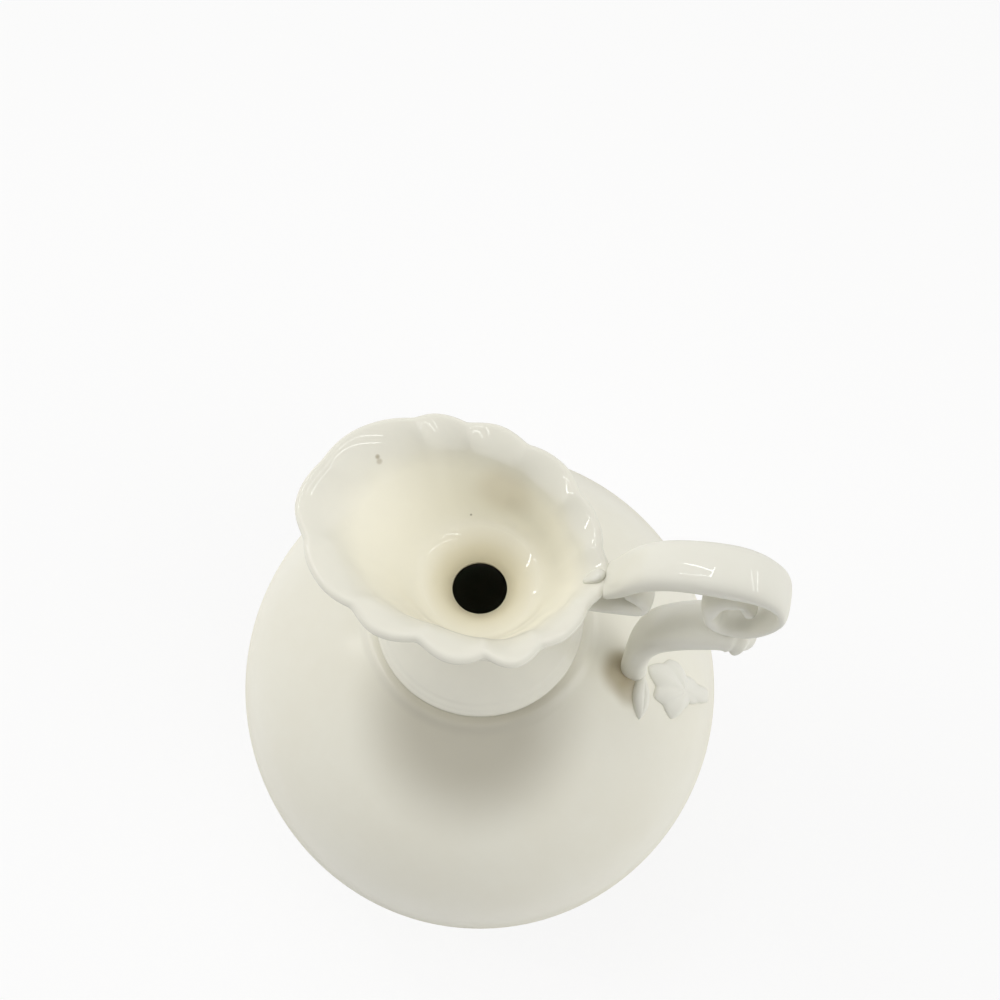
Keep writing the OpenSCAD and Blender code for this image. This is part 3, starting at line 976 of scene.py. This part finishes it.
@dataclass
class ThumbLeaf(Leaf):
    """Small pointed leaf on the lip against the handle."""

    node: str = "thumb_leaf"
    place: Pair = (33.8 * MM, 1.5 * MM)
    root_share: float = 0.0
    turn: float = radians(30)
    length: float = 6.4 * MM
    width: float = 4.2 * MM
    sink: float = 0.8 * MM
    sides: int = 40
    taper: float = 0.25
    lift_share: float = 0.7

    def edge(self, a: float) -> Vector:
        """Place of the edge at an angle, along and across the leaf from its middle."""
        return Vector((self.length / 2 * cos(a), self.width / 2 * sin(a) * (1 - self.taper * max(-cos(a), 0))))

    def lift(self, share: float, a: float) -> float:
        """Height of the face at a share of the way to the edge and an angle."""
        return self.lift_share * self.swollen(share)

    def laid(self, at: Vector, lift: float) -> Vector:
        """Point at a height over the lip."""
        return Vector((at.x, at.y, self.mouth.lip_top_z(atan2(at.y, at.x), at.length) + lift))


@dataclass
class Wiring:
    """Nodes of one material or group, and the links between them."""

    tree: NodeTree

    def add(self, kind: str, settings: dict[str, object] | None = None, **inputs: object) -> Node:
        """Adds a node.

        Args:
            kind: Blender's name of the node.
            settings: Properties of the node.
            **inputs: Values or sockets for its inputs, with spaces in their names as underscores.

        Returns:
            The new node.
        """
        node = self.tree.nodes.new(kind)
        for name, value in (settings or {}).items():
            setattr(node, name, value)
        for name, value in inputs.items():
            self.feed(node.inputs[name.replace("_", " ")], value)
        return node

    def feed(self, socket: NodeSocket, value: object) -> None:
        """Links a socket to an input, or sets the input's value.

        Args:
            socket: The input.
            value: A value or a socket.
        """
        if isinstance(value, NodeSocket):
            self.tree.links.new(value, socket)
        else:
            socket.default_value = value

    def noise(self, place: NodeSocket, scale: float, detail: float) -> NodeSocket:
        """Adds a soft noise."""
        return self.add("ShaderNodeTexNoise", Vector=place, Scale=scale, Detail=detail).outputs[0]

    def joined(self, kind: str, settings: dict[str, object], values: dict[int, object], output: int = 0) -> NodeSocket:
        """Adds a node whose inputs are known by their numbers.

        Args:
            kind: Blender's name of the node.
            settings: Properties of the node.
            values: Values or sockets for its inputs.
            output: Number of the output that is asked for.

        Returns:
            The output.
        """
        node = self.add(kind, settings)
        for index, value in values.items():
            self.feed(node.inputs[index], value)
        return node.outputs[output]

    def math(self, operation: str, first: object, second: object) -> NodeSocket:
        """Adds a sum, product or the like of two values."""
        return self.joined("ShaderNodeMath", {"operation": operation}, {0: first, 1: second})

    def measure(self, operation: str, first: object, second: object) -> NodeSocket:
        """Adds a distance or product of two vectors."""
        return self.joined("ShaderNodeVectorMath", {"operation": operation}, {0: first, 1: second}, output=1)

    def blend(self, factor: object, first: object, second: object) -> NodeSocket:
        """Adds a blend of two colours."""
        return self.joined("ShaderNodeMix", {"data_type": "RGBA"}, {0: factor, 6: first, 7: second}, output=2)

    def ramp(self, value: object, low: float, high: float, start: float = 0.0, end: float = 1.0) -> NodeSocket:
        """Adds a soft ramp from start to end as a value goes from low to high."""
        return self.add("ShaderNodeMapRange", {"interpolation_type": "SMOOTHSTEP"}, Value=value, From_Min=low,
                        From_Max=high, To_Min=start, To_Max=end).outputs[0]


def new_group(name: str, inputs: dict[str, str], outputs: dict[str, str]) -> tuple[Wiring, dict, Node]:
    """Starts a node group.

    Args:
        name: Name of the group.
        inputs: Kind of each input socket by its name.
        outputs: Kind of each output socket by its name.

    Returns:
        The group's wiring, its input sockets by name, and its output node.
    """
    tree = bpy.data.node_groups.new(name, "ShaderNodeTree")
    for way, sockets in (("INPUT", inputs), ("OUTPUT", outputs)):
        for label, kind in sockets.items():
            tree.interface.new_socket(label, in_out=way, socket_type=f"NodeSocket{kind}")
    source = tree.nodes.new("NodeGroupInput")
    return Wiring(tree), {s.name: s for s in source.outputs}, tree.nodes.new("NodeGroupOutput")


class Effect(Enum):
    """Effects of the glaze that more than one coat uses."""

    TONE = "glaze_tone"
    SKIN = "glaze_skin"
    SPECKS = "glaze_specks"
    SPOT = "glaze_spot"


Effects = dict[Effect, NodeTree]


def make_effects() -> Effects:
    """Builds the shared node groups of the glaze.

    Returns:
        Each group by its effect.
    """
    # The warmth share also carries painted light where a coat's thick tone is lighter than its thin one, as on the
    # mouth
    wire, given, out = new_group(Effect.TONE.value, {"Vector": "Vector", "Thin": "Color", "Thick": "Color",
                                                     "Warmth": "Float"}, {"Color": "Color"})
    wide = wire.noise(given["Vector"], scale=26.0, detail=2.0)
    fine = wire.noise(given["Vector"], scale=170.0, detail=3.0)
    drift = wire.ramp(wide, low=0.3, high=0.72, end=0.3)
    grain = wire.ramp(fine, low=0.3, high=0.7, end=0.1)
    share = wire.math("ADD", given["Warmth"], wire.math("ADD", drift, grain))
    wire.feed(out.inputs["Color"], wire.blend(share, given["Thin"], given["Thick"]))
    effects = {Effect.TONE: wire.tree}

    wire, given, out = new_group(Effect.SKIN.value, {"Vector": "Vector", "Gloss": "Float"},
                                 {"Height": "Float", "Roughness": "Float"})
    peel = wire.noise(given["Vector"], scale=210.0, detail=1.0)
    swell = wire.noise(given["Vector"], scale=48.0, detail=1.0)
    wear = wire.noise(given["Vector"], scale=75.0, detail=4.0)
    fine_height, wide_height = wire.math("MULTIPLY", peel, 1 - SWELL_SHARE), wire.math("MULTIPLY", swell, SWELL_SHARE)
    wire.feed(out.inputs["Height"], wire.math("ADD", fine_height, wide_height))
    worn = wire.ramp(wear, low=0.45, high=0.75, end=0.05)
    wire.feed(out.inputs["Roughness"], wire.math("ADD", given["Gloss"], worn))
    effects[Effect.SKIN] = wire.tree

    wire, given, out = new_group(Effect.SPECKS.value, {"Vector": "Vector", "Share": "Float"}, {"Mask": "Float"})
    cells = wire.add("ShaderNodeTexVoronoi", Vector=given["Vector"], Scale=58.0)
    chance = wire.add("ShaderNodeSeparateColor", Color=cells.outputs["Color"])
    picked = wire.math("LESS_THAN", chance.outputs[0], given["Share"])
    size = wire.ramp(chance.outputs[1], low=0.0, high=1.0, start=0.008, end=0.019)
    inside = wire.math("LESS_THAN", cells.outputs["Distance"], size)
    wire.feed(out.inputs["Mask"], wire.math("MULTIPLY", picked, inside))
    effects[Effect.SPECKS] = wire.tree

    wire, given, out = new_group(Effect.SPOT.value, {"Vector": "Vector", "Centre": "Vector", "Radius": "Float"},
                                 {"Mask": "Float"})
    near = wire.math("DIVIDE", wire.measure("DISTANCE", given["Vector"], given["Centre"]), given["Radius"])
    wire.feed(out.inputs["Mask"], wire.ramp(near, low=0.35, high=1.0, start=1.0, end=0.0))
    effects[Effect.SPOT] = wire.tree
    return effects


@dataclass(frozen=True)
class Spot:
    """Soft patch of colour in the glaze, used for real stains and for painted shade: its place and radius in
    millimetres, its colour and its strength.
    """

    centre: Place
    radius: float
    colour: Colour
    strength: float


@dataclass(frozen=True)
class GlazeCoat:
    """One coat of cream glaze: its tones, its gloss, which fades at grazing angles, its specks, and its stains and
    painted shade.
    """

    name: str
    thin: Colour
    thick: Colour
    speck: Colour = srgb(122, 112, 92)
    speck_share: float = 0.05
    speck_strength: float = 0.55
    gloss: float = 0.05
    ripple: float = 0.25 * MM
    ripple_strength: float = 0.5
    coat: float = 1.0
    coat_gloss: float = 0.03
    fade_from: float = 0.72
    # Attribute with the share of the thick tone; on the mouth and basin it is painted light as well as warmth
    warmth_and_painted_light_layer: str = ""
    spots: tuple[Spot, ...] = ()
    bare_below: float = 0.0
    bare: Colour = srgb(214, 196, 164)
    bare_from: float = 0.55
    bare_roughness: float = 0.8

    def material(self, effects: Effects) -> Material:
        """Builds the coat's material.

        Args:
            effects: The shared node groups.

        Returns:
            The material.
        """
        material = bpy.data.materials.new(self.name)
        material.use_nodes = True
        wire = Wiring(material.node_tree)
        shader = material.node_tree.nodes["Principled BSDF"]
        place = wire.add("ShaderNodeTexCoord").outputs["Object"]

        def effect(kind: Effect, **inputs: object) -> Node:
            """Places a shared group with its own values."""
            return wire.add("ShaderNodeGroup", {"node_tree": effects[kind]}, Vector=place, **inputs)

        warmth_and_painted_light: object = 0.0
        if self.warmth_and_painted_light_layer:
            warmth_and_painted_light = wire.add("ShaderNodeAttribute", {"attribute_name": self.warmth_and_painted_light_layer}).outputs["Fac"]
        colour = effect(Effect.TONE, Thin=self.thin, Thick=self.thick, Warmth=warmth_and_painted_light).outputs[0]
        specks = effect(Effect.SPECKS, Share=self.speck_share).outputs[0]
        colour = wire.blend(wire.math("MULTIPLY", specks, self.speck_strength), colour, self.speck)
        for spot in self.spots:
            centre = [c * MM for c in spot.centre]
            mask = effect(Effect.SPOT, Centre=centre, Radius=spot.radius * MM).outputs[0]
            colour = wire.blend(wire.math("MULTIPLY", mask, spot.strength), colour, spot.colour)
        facing = wire.add("ShaderNodeLayerWeight", Blend=0.5).outputs["Facing"]
        coat = wire.ramp(facing, low=self.fade_from, high=1.0, start=self.coat, end=0.0)
        skin = effect(Effect.SKIN, Gloss=self.gloss)
        roughness = skin.outputs["Roughness"]
        if self.bare_below:
            height = wire.add("ShaderNodeSeparateXYZ", Vector=place).outputs["Z"]
            low = self.bare_from * self.bare_below
            bare = wire.ramp(height, low, self.bare_below, start=1.0, end=0.0)
            colour = wire.blend(bare, colour, self.bare)
            roughness = wire.math("ADD", roughness, wire.math("MULTIPLY", bare, self.bare_roughness))
            coat = wire.math("MULTIPLY", coat, wire.math("SUBTRACT", 1.0, bare))
        bump = wire.add("ShaderNodeBump", Height=skin.outputs["Height"], Distance=self.ripple,
                        Strength=self.ripple_strength)
        looks = {"Base Color": colour, "Roughness": roughness, "Normal": bump.outputs[0], "Coat Weight": coat,
                 "Coat Roughness": self.coat_gloss, "Specular IOR Level": 0.0}
        for name, value in looks.items():
            wire.feed(shader.inputs[name], value)
        return material

    def dress(self, pieces: Sequence[Piece], effects: Effects) -> None:
        """Puts the coat on pieces. Its material is built for the first of them.

        Args:
            pieces: The pieces.
            effects: The shared node groups.
        """
        material = bpy.data.materials.get(self.name) or self.material(effects)
        for piece in pieces:
            piece.data.materials.clear()
            piece.data.materials.append(material)
            log.info("dressed %s with %s", piece.name, self.name)


# Painted shade on the body: browner shade in the crease at the stem's foot and along the side leaf's left, and the
# mouth's shadow on the shoulder in front of the neck
FOOT_SHADE = Spot((53, -4, 140), 10, srgb(160, 145, 110), 0.7)
LEAF_SHADE = Spot((57.5, -8, 138), 8, srgb(166, 154, 122), 0.6)
NECK_SHADE = Spot((8, -35, 146), 46, srgb(172, 167, 151), 0.75)
BODY_COAT = GlazeCoat("glaze_body", thin=srgb(234, 232, 219), thick=srgb(228, 224, 207), gloss=0.18, coat_gloss=0.2,
                      fade_from=0.6, spots=(NECK_SHADE, FOOT_SHADE, LEAF_SHADE))
FOOT_COAT = GlazeCoat("glaze_foot", thin=srgb(234, 231, 219), thick=srgb(224, 218, 198), bare_below=1.1 * MM)
# The mouth's thick tone is lighter than its thin one: painted light deep in the funnel and basin, with the warmer tone
# of thick glaze
MOUTH_COAT = GlazeCoat(
    "glaze_mouth", thin=srgb(230, 228, 216), thick=srgb(246, 243, 228), warmth_and_painted_light_layer=WARMTH_AND_PAINTED_LIGHT,
    spots=(
        # Next spot: painted shade in the well round the throat, with the yellower tone of glaze pooled there; the
        # others are glaze pits, specks and a faint stain
        Spot((0, 0, 172), 24, srgb(212, 199, 158), 0.5),
        Spot((-37.6, 16.2, 206.9), 1.1, srgb(140, 122, 84), 0.6),
        Spot((-36.5, 15.2, 206.2), 1.3, srgb(150, 134, 100), 0.4),
        Spot((-20.1, 26.2, 202.8), 0.5, srgb(110, 98, 76), 0.7),
        Spot((-9.2, 19.1, 180.0), 0.6, srgb(120, 108, 84), 0.7),
        Spot((0.5, 26.3, 191.0), 13, srgb(206, 191, 160), 0.25),
    ))
HANDLE_COAT = GlazeCoat(
    "glaze_handle", thin=srgb(231, 230, 220), thick=srgb(225, 222, 208), gloss=0.04, fade_from=0.5)


@dataclass(frozen=True)
class Lamp:
    """Soft rectangular lamp: its name, its place, its width and length, and its power in watts."""

    name: str
    place: Place
    size: Pair
    power: float


@dataclass(frozen=True)
class Glow:
    """Soft light of the surround: its azimuth and elevation in degrees, its sharpness and its strength."""

    azimuth: float
    elevation: float
    sharpness: float
    strength: float

    def way(self) -> Place:
        """Direction towards the glow."""
        turn, tilt = radians(self.azimuth), radians(self.elevation)
        return cos(turn) * cos(tilt), sin(turn) * cos(tilt), sin(tilt)


@dataclass
class Studio:
    """Plain pale floor, soft light and the camera at the photograph's angle."""

    floor_half: float = 4.0
    floor_colour: Colour = (0.9, 0.9, 0.9, 1.0)
    white_share: float = 0.82
    ambient: float = 0.05
    light_colour: Colour = (1.0, 0.995, 0.98, 1.0)
    eye: Place = (0.02785, -0.08571, 0.3995)
    azimuth: float = radians(18)
    elevation: float = radians(62)
    lens: float = 27.04
    sensor: float = 36.0
    shift: float = 0.0202
    near: float = 0.01
    lamps: tuple[Lamp, ...] = (
        Lamp("frame_left_far", (-0.496, 0.238, 0.8), (0.02, 0.4), 0.32),
        Lamp("frame_left_near", (-0.544, -0.078, 0.8), (0.02, 0.4), 0.32),
        Lamp("frame_left_top", (-0.365, 0.056, 0.925), (0.45, 0.02), 0.36),
        Lamp("bar_right_low", (0.4, 0.05, 0.82), (0.6, 0.018), 0.2),
        Lamp("bar_right_high", (0.3, 0.05, 0.9), (0.6, 0.018), 0.2),
    )
    glows: tuple[Glow, ...] = (
        Glow(180, 15, sharpness=10, strength=3.5),
        Glow(0, 15, sharpness=10, strength=1.9),
        Glow(45, 30, sharpness=10, strength=0.8),
        Glow(115, 60, sharpness=14, strength=2.1),
        Glow(-30, 36, sharpness=12, strength=1.7),
        Glow(-100, 65, sharpness=14, strength=0.5),
    )
    aim: Place = (0.0, 0.0, 0.14)

    def build(self) -> None:
        """Sets the floor, the world, the lamps and the camera."""
        self.build_floor()
        self.build_world()
        for lamp in self.lamps:
            self.build_lamp(lamp)
        self.build_camera()
        bpy.context.scene.view_settings.view_transform = "Standard"

    def show_white(self, wire: Wiring, plain: Node, white: Node, share: float, end: str) -> None:
        """Wires a shader that is plain for light, and white where it is seen or mirrored.

        Args:
            wire: Wiring of the material or world.
            plain: The plain shader.
            white: The white shader.
            share: Share of white where it is seen.
            end: Name of the output node.
        """
        rays = wire.add("ShaderNodeLightPath").outputs
        mirrored = wire.math("ADD", rays["Is Glossy Ray"], rays["Is Transmission Ray"])
        seen = wire.math("ADD", rays["Is Camera Ray"], mirrored)
        parts = {0: wire.math("MULTIPLY", seen, share), 1: plain.outputs[0], 2: white.outputs[0]}
        wire.feed(wire.tree.nodes[end].inputs["Surface"], wire.joined("ShaderNodeMixShader", {}, parts))

    def build_floor(self) -> None:
        """Makes the floor, which looks white and keeps the ewer's shadow."""
        bm = bmesh.new()
        bmesh.ops.create_grid(bm, x_segments=8, y_segments=8, size=self.floor_half)
        mesh = bpy.data.meshes.new("studio_floor")
        bm.to_mesh(mesh)
        bm.free()
        floor = bpy.data.objects.new("studio_floor", mesh)
        bpy.context.scene.collection.objects.link(floor)
        material = bpy.data.materials.new("studio_white")
        material.use_nodes = True
        tree = material.node_tree
        tree.nodes.remove(tree.nodes["Principled BSDF"])
        wire = Wiring(tree)
        matt = wire.add("ShaderNodeBsdfDiffuse", Color=self.floor_colour)
        white = wire.add("ShaderNodeEmission", Color=(1, 1, 1, 1), Strength=1.0)
        self.show_white(wire, matt, white, self.white_share, "Material Output")
        floor.data.materials.append(material)

    def build_world(self) -> None:
        """Makes the white surround, plain light for the ewer and white where it is seen."""
        world = bpy.data.worlds.new("studio_world")
        world.use_nodes = True
        bpy.context.scene.world = world
        wire = Wiring(world.node_tree)
        plain = wire.tree.nodes["Background"]
        plain.inputs["Color"].default_value = self.light_colour
        way = wire.add("ShaderNodeTexCoord").outputs["Generated"]
        light: object = self.ambient
        for glow in self.glows:
            facing = wire.math("MAXIMUM", wire.measure("DOT_PRODUCT", way, glow.way()), 0.0)
            shine = wire.math("MULTIPLY", wire.math("POWER", facing, glow.sharpness), glow.strength)
            light = wire.math("ADD", light, shine)
        wire.feed(plain.inputs["Strength"], light)
        white = wire.add("ShaderNodeBackground", Color=(1, 1, 1, 1), Strength=1.0)
        self.show_white(wire, plain, white, 1.0, "World Output")

    def build_lamp(self, lamp: Lamp) -> None:
        """Hangs one soft lamp that faces the ewer.

        Args:
            lamp: The lamp.
        """
        light = bpy.data.lights.new(lamp.name, "AREA")
        light.shape = "RECTANGLE"
        light.size, light.size_y = lamp.size
        light.energy = lamp.power
        holder = bpy.data.objects.new(lamp.name, light)
        holder.location = lamp.place
        holder.rotation_euler = (Vector(self.aim) - Vector(lamp.place)).to_track_quat("-Z", "Y").to_euler()
        bpy.context.scene.collection.objects.link(holder)

    def build_camera(self) -> None:
        """Sets the camera where the photograph was taken from."""
        camera = bpy.data.cameras.new("photo_camera")
        camera.lens = self.lens
        camera.sensor_width = self.sensor
        camera.shift_x = self.shift
        camera.clip_start = self.near
        holder = bpy.data.objects.new("photo_camera", camera)
        level = cos(self.elevation)
        back = Vector((sin(self.azimuth) * level, -cos(self.azimuth) * level, sin(self.elevation)))
        holder.location = self.eye
        holder.rotation_euler = (-back).to_track_quat("-Z", "Y").to_euler()
        bpy.context.scene.collection.objects.link(holder)
        bpy.context.scene.camera = holder


def main() -> None:
    """Builds and dresses every piece of the ewer, then the studio."""
    logging.basicConfig(level=logging.INFO, format="%(name)s: %(message)s")
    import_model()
    effects = make_effects()
    body = Body()
    neck = Neck(body)
    mouth = Mouth(neck)
    leaves = (IvyLeaf(body, mouth), Leaf(body, mouth), ThumbLeaf(body, mouth))
    for assembly in (body, neck, mouth, Handle(body, mouth), *leaves):
        assembly.dress(assembly.build(), effects)
    Studio().build()


if __name__ == "__main__":
    main()
